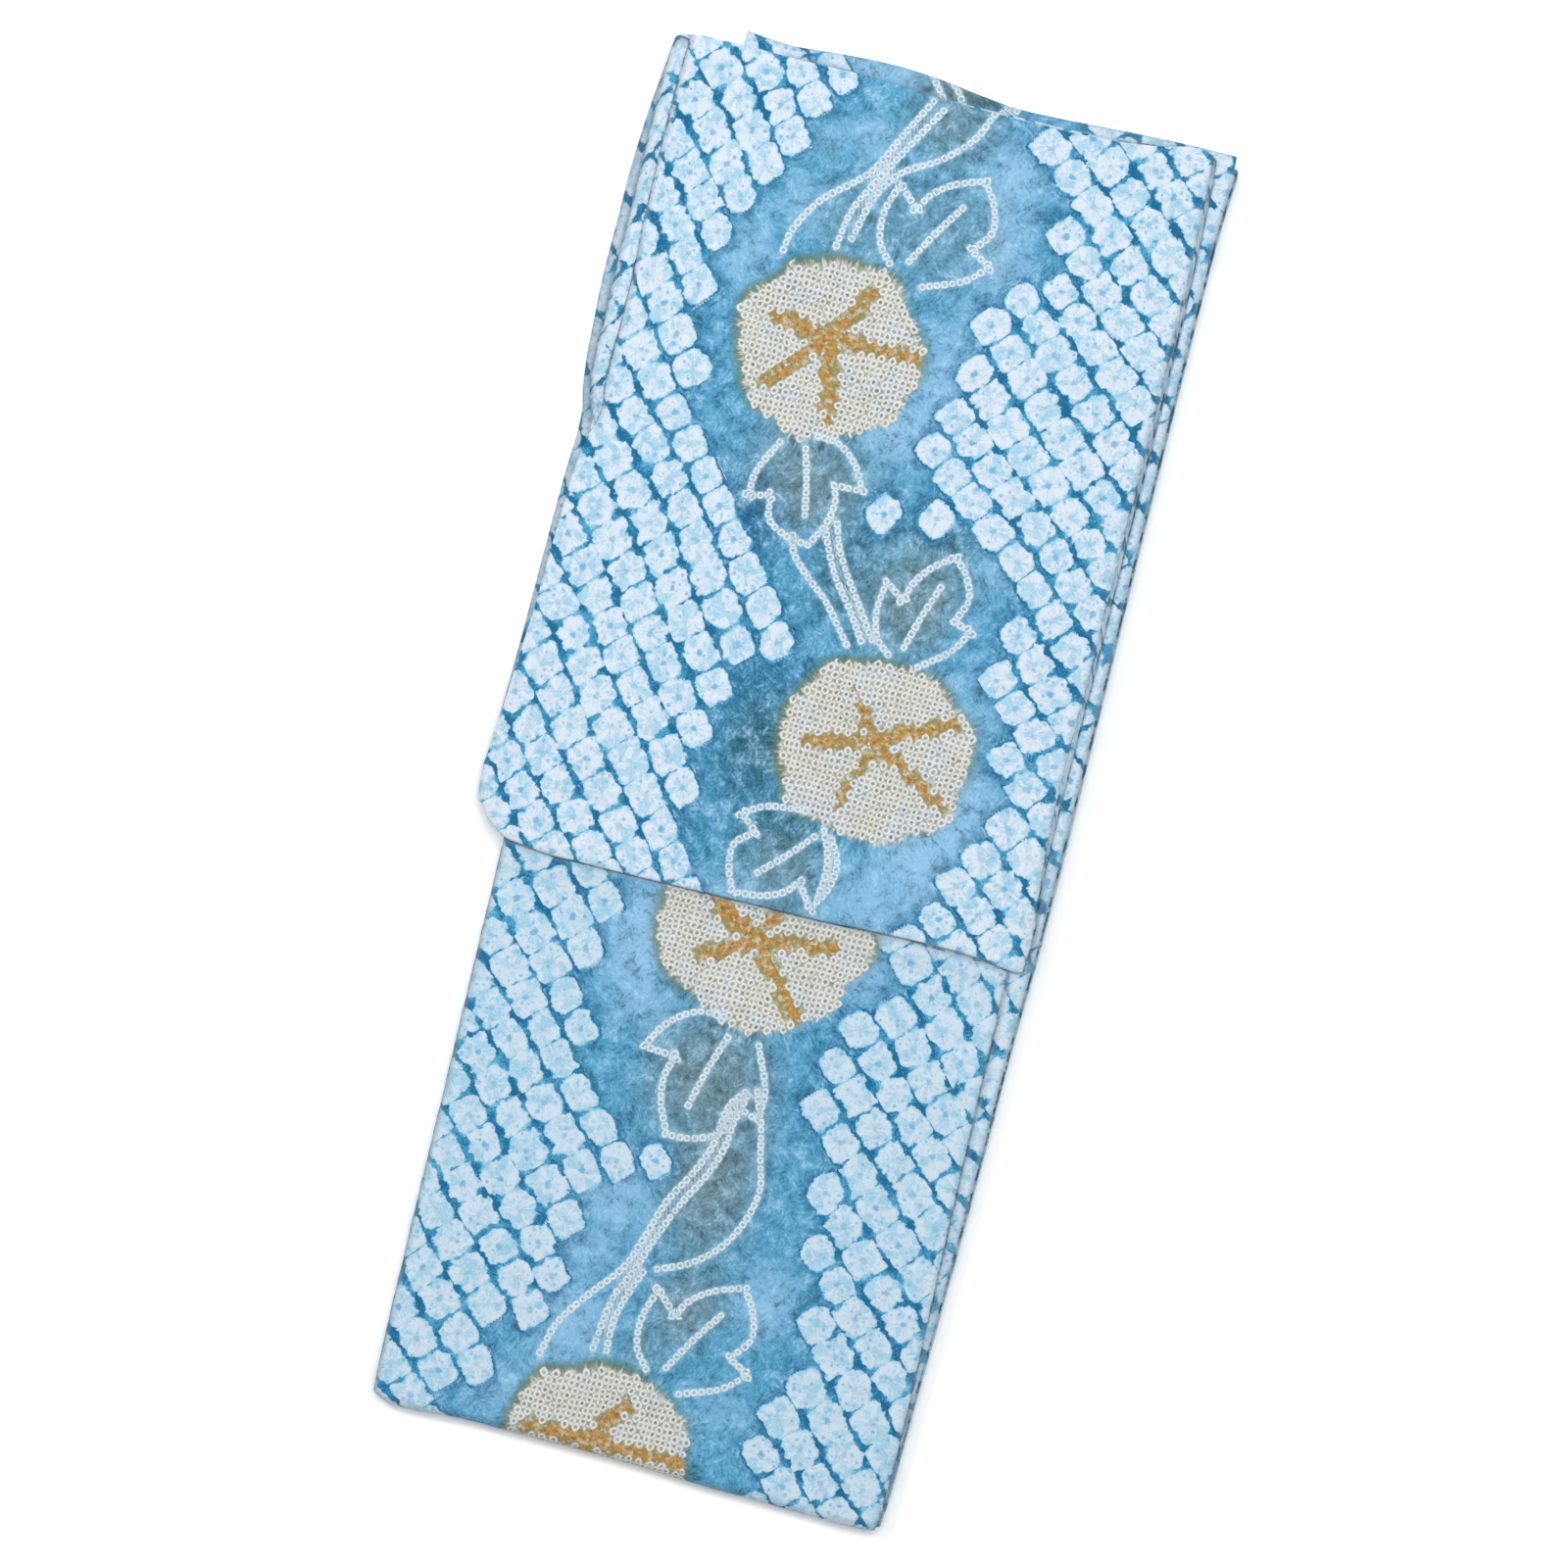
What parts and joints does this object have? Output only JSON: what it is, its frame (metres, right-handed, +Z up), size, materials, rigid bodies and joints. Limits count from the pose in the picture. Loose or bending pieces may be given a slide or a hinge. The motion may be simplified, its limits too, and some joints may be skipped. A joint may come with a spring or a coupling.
{
  "type": "folded cotton yukata robe",
  "caption": "Cotton robe folded flat into a long soft-edged stack, one sleeve laid over the body and one under it, tie-dyed in blue and white.",
  "frame": {"origin": "on the surface the robe lies on, under the middle of its outline", "axes": "+Z up, +Y along the stack towards the shoulders and the hem's edge, -Y towards the fold at the waist, +X across it"},
  "size_m": [0.353, 0.849, 0.0204],
  "materials": {
    "dyed_cotton": "matt puckered plain-weave cotton, tie-dyed blue and white with ochre and grey-green",
    "inner_cotton": "matt puckered plain-weave cotton, seen only at its edges"
  },
  "bodies": {
    "root": {"sleeve_upper": "dyed_cotton", "sleeve_lower": "dyed_cotton", "back_panel": "dyed_cotton", "front_panel": "dyed_cotton", "hem_strip": "dyed_cotton", "hidden_layers": "inner_cotton"}
  },
  "joints": []
}
